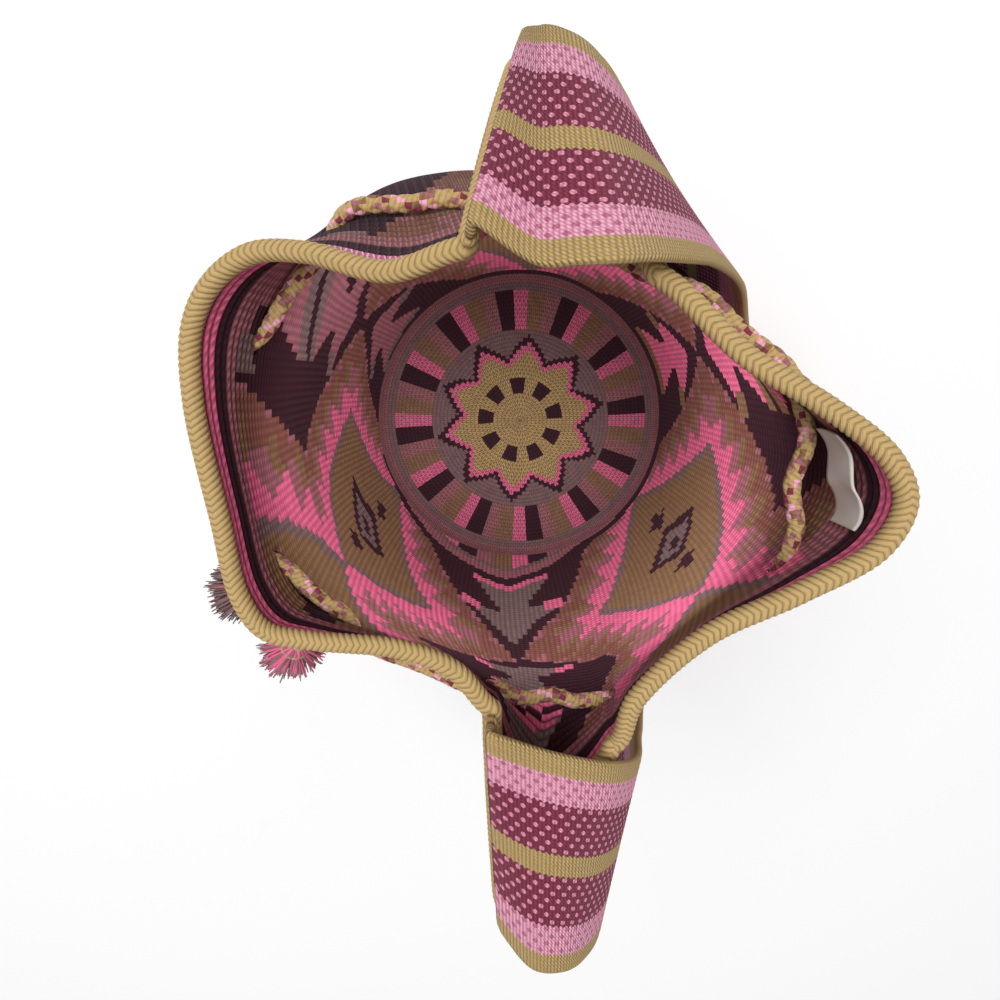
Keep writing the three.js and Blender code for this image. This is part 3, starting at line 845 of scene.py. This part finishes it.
def make_strap():
    stations = ridge_stations(RIDGES[0]) + STRAP_STATIONS + ridge_stations(RIDGES[1])[::-1]
    places = np.linspace(0, 1, STRAP_RINGS * 3 + 1)
    middle = smooth_curve([s[0] for s in stations], places)
    lengths = running_length(middle)
    total = lengths[-1]
    at = np.interp(np.linspace(0, total, STRAP_RINGS + 1), lengths, places)
    centre = smooth_curve([s[0] for s in stations], at)
    width = unit(smooth_curve([s[1] for s in stations], at, even=True))
    tangent = unit(np.gradient(centre, axis=0))
    normal = unit(np.cross(tangent, width))
    rows = STRAP_ROWS * 2
    across = np.linspace(-1, 1, rows + 1)
    crest = np.where(np.arange(rows + 1) % 2 == 1, 0.0, -STRAP_RELIEF)
    edge = np.clip((1 - np.abs(across)) * STRAP_WIDTH / 2 / STRAP_EDGE, 0, 1)
    round_off = EDGE_THICKNESS + (1 - EDGE_THICKNESS) * np.sqrt(1 - (1 - edge) ** 2)
    thick = (STRAP_THICKNESS / 2 + crest) * round_off
    out = np.concatenate([across, across[::-1]]) * STRAP_WIDTH / 2
    lift = np.concatenate([thick, -thick[::-1]])
    rings = centre[:, None] + width[:, None] * out[:, None] + normal[:, None] * lift[:, None]
    rings[..., 2] += np.maximum(0, CLEARANCE - rings[..., 2].min(axis=1))[:, None]
    mesh = roll_skin("woven_band", rings)

    def uv_at(ring, column, low_ring):
        cross = np.clip(np.where(column <= rows, column, 2 * rows + 1 - column), 0, rows) / 2
        return np.stack([ring / STRAP_RINGS * total, cross], axis=-1)

    lay_pattern(mesh, len(out), len(rings), uv_at)
    add_piece(mesh, "woven_strap", "strap", materials=[band_cotton])


# Hand-woven cotton band: stripes across it, counted in warp rows from the edge by the mouth, with a
# spot of another shade at even steps along each row, and ribs that run across the band
BAND_STRIPES = [(0, KHAKI), (3, LIGHT_PINK), (7, MAROON), (14, KHAKI), (17, MAROON),
                (24, LIGHT_PINK), (28, KHAKI)]
SPOT_COLOURS = {KHAKI: "b89a60", LIGHT_PINK: "c0708c", MAROON: "e08fa8"}
SPOT_PITCH = 4.2
RIB_PITCH = 1.4
SCALLOP_PITCH = 2.1


def woven_band(name):
    material, add = start_material(name)
    coords = add("UVMap", uv_map="stitches")
    along, cross = add("SeparateXYZ", (coords,)).outputs[:2]
    # The weft's turns scallop the edge of each stripe
    turn = add("MULTIPLY", (along, 2 * math.pi / SCALLOP_PITCH))
    scallop = add("SINE", (turn,))
    wavy = add("MULTIPLY_ADD", (scallop, 0.14, cross))
    wavy = add("DIVIDE", (wavy, STRAP_ROWS))
    stripe, weave = (
        set_steps(add("ValToRGB", (wavy,)), [(row / STRAP_ROWS, codes[yarn]) for row, yarn in BAND_STRIPES])
        for codes in (YARNS, SPOT_COLOURS))
    # The spots shift by half a pitch from row to row
    row = add("FLOOR", (cross,))
    odd = add("MODULO", (row, 2.0))
    shift = add("MULTIPLY", (odd, 0.5))
    beside = add("MULTIPLY_ADD", (along, 1 / SPOT_PITCH, shift))
    beside = add("SUBTRACT", (add("FRACT", (beside,)), 0.5))
    level = add("SUBTRACT", (add("FRACT", (cross,)), 0.5))
    beside = add("MULTIPLY", (beside, 4.4))
    level = add("MULTIPLY", (level, 3.1))
    oval = add("MULTIPLY", (level, level))
    oval = add("MULTIPLY_ADD", (beside, beside, oval))
    spot = add("MapRange", (oval, 0.75, 1.05, 1, 0), interpolation_type="SMOOTHSTEP")
    colour = add("Mix", {0: spot, FIRST: stripe, SECOND: weave}, data_type="RGBA")
    # The ribs are made of short slanting turns, two to a row
    turns = add("FRACT", (add("MULTIPLY", (cross, 2.0)),))
    ribs = add("MULTIPLY", (along, 1 / RIB_PITCH))
    ribs = add("MULTIPLY_ADD", (turns, 0.3, ribs))
    ribs = add("FRACT", (ribs,))
    rib, crown = (
        add("SINE", (add("MULTIPLY", (part, math.pi)),))
        for part in (ribs, turns))
    crown = add("MULTIPLY_ADD", (crown, 0.45, 0.55))
    height = add("MULTIPLY", (rib, crown))
    height = add("MULTIPLY_ADD", (spot, 0.3, height))
    noise = add("TexNoise", {"Vector": coords, "Scale": 1.2, "Detail": 3.0})
    # Painted shade: the band darker where its weave sinks, between the ribs and beside the spots
    value = add("MULTIPLY_ADD", (height, 0.42, 0.52))
    value = add("MULTIPLY_ADD", (noise, 0.3, value))
    finish_yarn(add, colour, value, height, 0.6, roughness=0.85)
    return material


band_cotton = woven_band("woven_cotton_band")

# Seams: a roll of the same edging over each end of the strap
SEAM_RADIUS = 3.3
SEAM_STEPS = 163


def make_joins():
    for name, (outward, middle, lift) in zip(("rear", "front"), RIDGES):
        centre = middle + lift * (RIM_RADIUS + CLEARANCE + JOIN_HEIGHT / 2)
        share = np.linspace(-0.5, 0.5, SEAM_STEPS)
        points = centre + outward * (share * STRAP_WIDTH)[:, None]
        taper = np.sqrt(np.clip(1 - (np.abs(share) * 2) ** 14, 0.02, 1))
        radius_at = chevron_radius(SEAM_RADIUS, EDGING_STITCH, 0.15 * SEAM_RADIUS, 0.4 * SEAM_RADIUS)
        rings = tube_rings(points, radius_at, EDGING_SIDES, up=np.tile(lift, (SEAM_STEPS, 1)))
        rings = points[:, None] + (rings - points[:, None]) * taper[:, None, None]
        rows = running_length(points) / EDGING_STITCH
        add_edging(f"strap_seam_{name}", rings, lambda ring: rows[ring], f"strap_join_{name}")


# Drawstring: a braid laced through the eyelets, first inside, then outside
EXIT_SHARE = 0.006
SPAN_STEPS = 8
CORD_STEPS = 100
CORD_OFFSET = WALL_THICKNESS / 2 + RIDGE_HEIGHT + CORD_RADIUS + CORD_CLEARANCE
CORD_RISE = 1.9
CORD_TAUT = 0.95


def beside_cord(u, offset):
    u = np.array(float(u))
    return offset_wall(u, cord_level(u), np.array(float(offset)))


def span_points(start_share, end_share, side):
    finish = end_share + 1 if end_share < start_share else end_share
    start = beside_cord(start_share, 0)
    end = beside_cord(finish, 0)
    points = []
    for k in range(SPAN_STEPS):
        part = k / SPAN_STEPS
        swell = math.sin(math.pi * part)
        u = start_share + (finish - start_share) * part
        point = beside_cord(u, side * CORD_OFFSET * min(1, CORD_RISE * swell))
        if side < 0:
            point = point + (start + (end - start) * part - point) * (CORD_TAUT * swell ** 2)
        points.append(point)
    return points


def laced_points():
    first, last = EYELETS[0], EYELETS[-1]
    points = [beside_cord(first - EXIT_SHARE, CORD_OFFSET)]
    for k in range(len(EYELETS) - 1):
        points += span_points(EYELETS[k], EYELETS[k + 1], -1 if k % 2 == 0 else 1)
    points += [beside_cord(last, 0), beside_cord(last + EXIT_SHARE, CORD_OFFSET)]
    return spaced_points(points, CORD_STEPS)


LACED = laced_points()
TASSELS = {
    "pink": ((-104, -79, 224), (-121, -100, 182)),
    "grey": ((-122, -54, 215), (-146, -71, 177)),
}


def tail_points(start, before, stations, tassel):
    away = unit(start - before)
    top, tip = (np.array(p, float) for p in tassel)
    axis = unit(tip - top)
    points = [start + away * 2 * CLEARANCE, start + away * 3 * CORD_RADIUS]
    for u, v, offset in stations:
        points.append(offset_wall(np.array(u), np.array(v), np.array(float(offset))))
    points.append(top - axis * 3 * CORD_RADIUS)
    points.append(top - axis * 2 * CLEARANCE)
    return points


TAILS = {
    "pink": tail_points(LACED[0], LACED[1], [(0.566, 0.85, 20), (0.59, 0.855, 16)], TASSELS["pink"]),
    "grey": tail_points(LACED[-1], LACED[-2], [(0.445, 0.82, 14), (0.475, 0.77, 8), (0.51, 0.77, 8),
                                               (0.54, 0.8, 11)], TASSELS["grey"]),
}
BRAID_PITCH = 5.5
BRAID_SIDES = 32
BRAID_STRANDS = 4
BRAID_STEP = 0.5
BRAID_LEFT = [KHAKI, OLIVE, KHAKI, KHAKI]
BRAID_RIGHT = [KHAKI, ROSE, KHAKI, MAROON, LIGHT_PINK]


def braid_phases(along, turn):
    spin = 2 * math.pi * along / BRAID_PITCH
    return BRAID_STRANDS * turn + spin, BRAID_STRANDS * turn - spin


def braid_radius(along, turn):
    left, right = braid_phases(along, turn)
    return CORD_RADIUS * (0.9 + 0.13 * np.maximum(np.cos(left), np.cos(right)))


def strand_yarn(phase, yarns):
    number = np.floor((phase + math.pi) / (2 * math.pi)).astype(int) % len(yarns)
    return np.choose(number, yarns)


def make_braid(name, curve_points, *nodes):
    length = running_length(smooth_curve(curve_points, np.linspace(0, 1, 800)))[-1]
    path = spaced_points(curve_points, max(8, round(length / BRAID_STEP)), divisions=1600)
    rings = tube_rings(path, braid_radius, BRAID_SIDES)
    lengths = running_length(path)
    mesh = roll_skin(name, rings)

    def uv_at(ring, column, low_ring):
        share = column / BRAID_SIDES
        return np.stack([share * BRAID_STRANDS, ring / 4 + share * 3], axis=-1)

    def yarn_at(ring, column):
        turn = (column + 0.5) / BRAID_SIDES * 2 * math.pi
        along = lengths[np.clip(ring, 0, len(lengths) - 1)] + BRAID_STEP
        left, right = braid_phases(along, turn)
        over = np.cos(left) > np.cos(right)
        return np.where(over, strand_yarn(left, BRAID_LEFT), strand_yarn(right, BRAID_RIGHT))

    lay_pattern(mesh, BRAID_SIDES, len(rings), uv_at, yarn_at)
    piece = add_piece(mesh, "braided_cord", *nodes, materials=[cord_cotton])
    return piece, path, lengths[-1]


# Tassels: loose cut strands under a head, tied with a few turns of yarn
STRAND_RADIUS = 0.55
TIP_THINNING = 0.55
# Levels of a strand: millimetres down from the top and out from the middle, then one level at shares
# of the tassel's length and flare, then the tip
STRAND_DOWN = [0, 3, 8, 13, 20]
STRAND_OUT = [2.6, 5.6, 6.3, TASSEL_NECK - 0.6, 6.8]
LOW_DOWN, LOW_OUT = 0.62, 0.68
STRAND_LEVELS = len(STRAND_DOWN) + 2
STRANDS = 640
FRINGES = {
    "pink": ([HOT_PINK, ROSE, HOT_PINK, ROSE], 11),
    "grey": ([TAUPE, AUBERGINE, ROSE, TAUPE, BROWN], 12),
}


def tassel_axes(tone):
    top, tip = (np.array(end, float) for end in TASSELS[tone])
    axis = unit(tip - top)
    beside = unit(np.cross(axis, (0, 0, 1.0)))
    return top, axis, beside, np.cross(axis, beside), np.linalg.norm(tip - top)


# One straight strand of four sides, a level to a millimetre, which each real strand is bent from
def strand_pattern():
    corner = np.arange(4) * math.pi / 2
    ring = np.stack([np.cos(corner), np.sin(corner), np.zeros(4)], axis=-1)
    return roll_skin("strand", [ring + (0, 0, level) for level in range(STRAND_LEVELS)])


def make_fringe(tone):
    colours, seed = FRINGES[tone]
    chance = np.random.default_rng(seed)
    top, axis, beside, over, drop = tassel_axes(tone)
    straight = strand_pattern()
    corners = np.array([vert.co for vert in straight.vertices]) / MM
    at_level = np.rint(corners[:, 2]).astype(int)
    thick = np.where(at_level == STRAND_LEVELS - 1, TIP_THINNING, 1.0)[:, None] * STRAND_RADIUS
    bm = bmesh.new()
    places, yarns = [], []
    for _ in range(STRANDS):
        turn = chance.uniform(0, 2 * math.pi)
        depth = math.sqrt(chance.uniform(0.05, 1))
        reach = drop * chance.uniform(0.92, 1.02)
        flare = TASSEL_FLARE * depth * chance.uniform(0.88, 1.02)
        sway = chance.uniform(-0.25, 0.25)
        yarns += [colours[int(chance.integers(len(colours)))]] * len(straight.polygons)
        along = np.array([*STRAND_DOWN, LOW_DOWN * drop, reach])
        out = np.append(np.array([*STRAND_OUT, LOW_OUT * TASSEL_FLARE]) * max(depth, 0.25), flare)
        bend = turn + sway * np.maximum(0, np.arange(STRAND_LEVELS) - 3) / 3
        centres = (top + axis * along[:, None] + out[:, None] * (
            np.cos(bend)[:, None] * beside + np.sin(bend)[:, None] * over))
        places.append(centres[at_level] + thick * (corners[:, :1] * beside + corners[:, 1:2] * over))
        bm.from_mesh(straight)
    for vert, place in zip(bm.verts, np.concatenate(places) * MM):
        vert.co = place
    bm.normal_update()
    bmesh.ops.recalc_face_normals(bm, faces=bm.faces)
    mesh = finish_mesh(bm, f"fringe_{tone}")
    numbers = (np.array(yarns) + 0.5) / len(YARNS)
    mesh.attributes.new("yarn", "FLOAT", "FACE").data.foreach_set("value", numbers)
    mesh.shade_smooth()
    return add_piece(mesh, f"{tone}_yarn", f"tassel_{tone}", materials=[loose_cotton])


# Loose cotton strands: soft and matt, each in its yarn's colour, faintly mottled along its length
def loose_strands(name):
    material, add = start_material(name)
    coords = add("TexCoord").outputs["Object"]
    noise = add("TexNoise", {"Vector": coords, "Scale": 900.0, "Detail": 2.0})
    yarn = add("Attribute", attribute_name="yarn").outputs["Fac"]
    value = add("MULTIPLY_ADD", (noise, 0.5, 0.7))
    colour = set_steps(add("ValToRGB", (yarn,)), YARN_STEPS)
    finish_yarn(add, colour, value, noise, 0.2, strength=0.4, roughness=0.8)
    return material


loose_cotton = loose_strands("loose_cotton_strands")

# Binding: a few turns of yarn wound round the neck, in millimetres
BINDING_TURNS = 2.6
BINDING_STEPS = 90
BINDING_SIDES = 8
BINDING_DOWN = 13
BINDING_SPREAD = 2
BINDING_YARN = 0.75


def binding_radius(along, turn):
    return BINDING_YARN + 0.06 * np.cos(3 * turn + 3 * along)


def wind_binding(tone):
    top, axis, beside, over, _ = tassel_axes(tone)
    part = np.linspace(0, 1, BINDING_STEPS)
    turn = part * BINDING_TURNS * 2 * math.pi
    out = np.cos(turn)[:, None] * beside + np.sin(turn)[:, None] * over
    down = axis * (BINDING_DOWN + BINDING_SPREAD * part)[:, None]
    points = top + down + out * (TASSEL_NECK + CLEARANCE + 0.8)
    rings = tube_rings(points, binding_radius, BINDING_SIDES)
    mesh = roll_skin(f"winding_{tone}", rings)

    def uv_at(ring, column, low_ring):
        return np.stack([column / 2, ring / 3], axis=-1)

    lay_pattern(mesh, BINDING_SIDES, len(rings), uv_at, plain_khaki)
    return add_piece(mesh, "khaki_crochet", f"tassel_binding_{tone}", materials=[edging_cotton])


# Label: a blank woven ribbon, satin white, that stands off the wall between its stitched ends
LABEL_SHARES = (0.978, 1.04)
LABEL_RISE = 0.935
LABEL_CURL = 5
LABEL_WAVE = 0.5
LABEL_STEPS = 60
LABEL_COLUMNS = 13


def make_label():
    part = np.linspace(0, 1, LABEL_STEPS + 1)
    u = LABEL_SHARES[0] + (LABEL_SHARES[1] - LABEL_SHARES[0]) * part
    v = np.full(len(u), LABEL_RISE)
    seat = WALL_THICKNESS / 2 + RIDGE_HEIGHT + 2 * CLEARANCE + LABEL_THICKNESS / 2
    centre = offset_wall(u, v, -seat - LABEL_CURL * np.sin(math.pi * part) ** 2)
    normal = wall_normal(u, v)[:, None]
    up = unit(up_wall(u, v))[:, None]
    across = np.linspace(-0.5, 0.5, LABEL_COLUMNS)[:, None]
    wave = LABEL_WAVE * np.sin(part * 11)[:, None, None] * (across * 2) ** 2
    middle = centre[:, None] + up * across * LABEL_WIDTH + normal * wave
    half = normal * LABEL_THICKNESS / 2
    mesh = roll_skin("blank_label", np.concatenate([middle + half, (middle - half)[:, ::-1]], axis=1))

    def uv_at(ring, column, low_ring):
        cross = np.where(column < LABEL_COLUMNS, column, 2 * LABEL_COLUMNS - 1 - column)
        return np.stack([ring.astype(float), cross.astype(float)], axis=-1)

    lay_pattern(mesh, 2 * LABEL_COLUMNS, len(part), uv_at)
    add_piece(mesh, "white_ribbon", "label", materials=[satin_ribbon("satin_ribbon")])


# Polyester satin ribbon: smooth and slightly glossy, with a fine weave along it
def satin_ribbon(name):
    material, add = start_material(name)
    coords = add("UVMap", uv_map="stitches")
    weave = add("TexBrick", {
        "Vector": coords, "Scale": 2.0, "Color1": linear("dedbd3"), "Color2": linear("d2cfc6"),
        "Mortar": linear("cfcbc2"), "Mortar Size": 0.03,
    })
    bump = add("Bump", {"Height": weave.outputs["Fac"], "Strength": 0.2, "Distance": 0.1 * MM})
    finish_material(add, {"Base Color": weave, "Normal": bump}, roughness=0.42)
    return material


# The cords come first: the laced drawstring, then its two free tails
make_braid("laced_drawstring", LACED, "drawstring")
tails = {tone: make_braid(f"tail_{tone}", points, f"drawstring_tail_{tone}")
         for tone, points in TAILS.items()}
fringes = {tone: make_fringe(tone) for tone in TAILS}
for tone, (tail, path, length) in tails.items():
    winding = wind_binding(tone)
    [tuple(p * MM) for p in path]

make_wall()
make_base()
make_rim()
make_strap()
make_joins()
make_label()


# Plain pale floor and soft studio light: two softboxes overhead, and a small lamp in the mouth that
# opens up the inside's shadows. Each has its place in metres, its power and its size.
LAMPS = [((0, 0.3, 3.0), 46, 1.0), ((-0.9, 0.9, 2.2), 14, 1.2), ((0, 0.01, 0.245), 0.21, 0.1)]
LAMP_AIM = (0, 0, 0.1)
SKY_STRENGTH = 0.42
FLOOR_SIZE = 4


def make_stage():
    bm = bmesh.new()
    bmesh.ops.create_grid(bm, x_segments=2, y_segments=2, size=FLOOR_SIZE)
    mesh = finish_mesh(bm, "floor")
    floor = bpy.data.objects.new("floor", mesh)
    bpy.context.collection.objects.link(floor)
    material, add = start_material("pale_paper")
    finish_material(add, {"Base Color": linear("fbfbfb")}, roughness=0.95, sheen=0)
    mesh.materials.append(material)
    world = bpy.data.worlds.new("studio")
    bpy.context.scene.world = world
    world.use_nodes = True
    sky = world.node_tree.nodes["Background"].inputs
    sky["Color"].default_value = (1, 1, 1, 1)
    sky["Strength"].default_value = SKY_STRENGTH
    for place, power, size in LAMPS:
        data = bpy.data.lights.new("softbox", "AREA")
        data.energy = power
        data.size = size
        light = bpy.data.objects.new("softbox", data)
        light.location = place
        light.rotation_euler = (Vector(LAMP_AIM) - Vector(place)).to_track_quat("-Z", "Y").to_euler()
        light.visible_camera = False
        bpy.context.collection.objects.link(light)
    bpy.context.scene.view_settings.view_transform = "Standard"


make_stage()
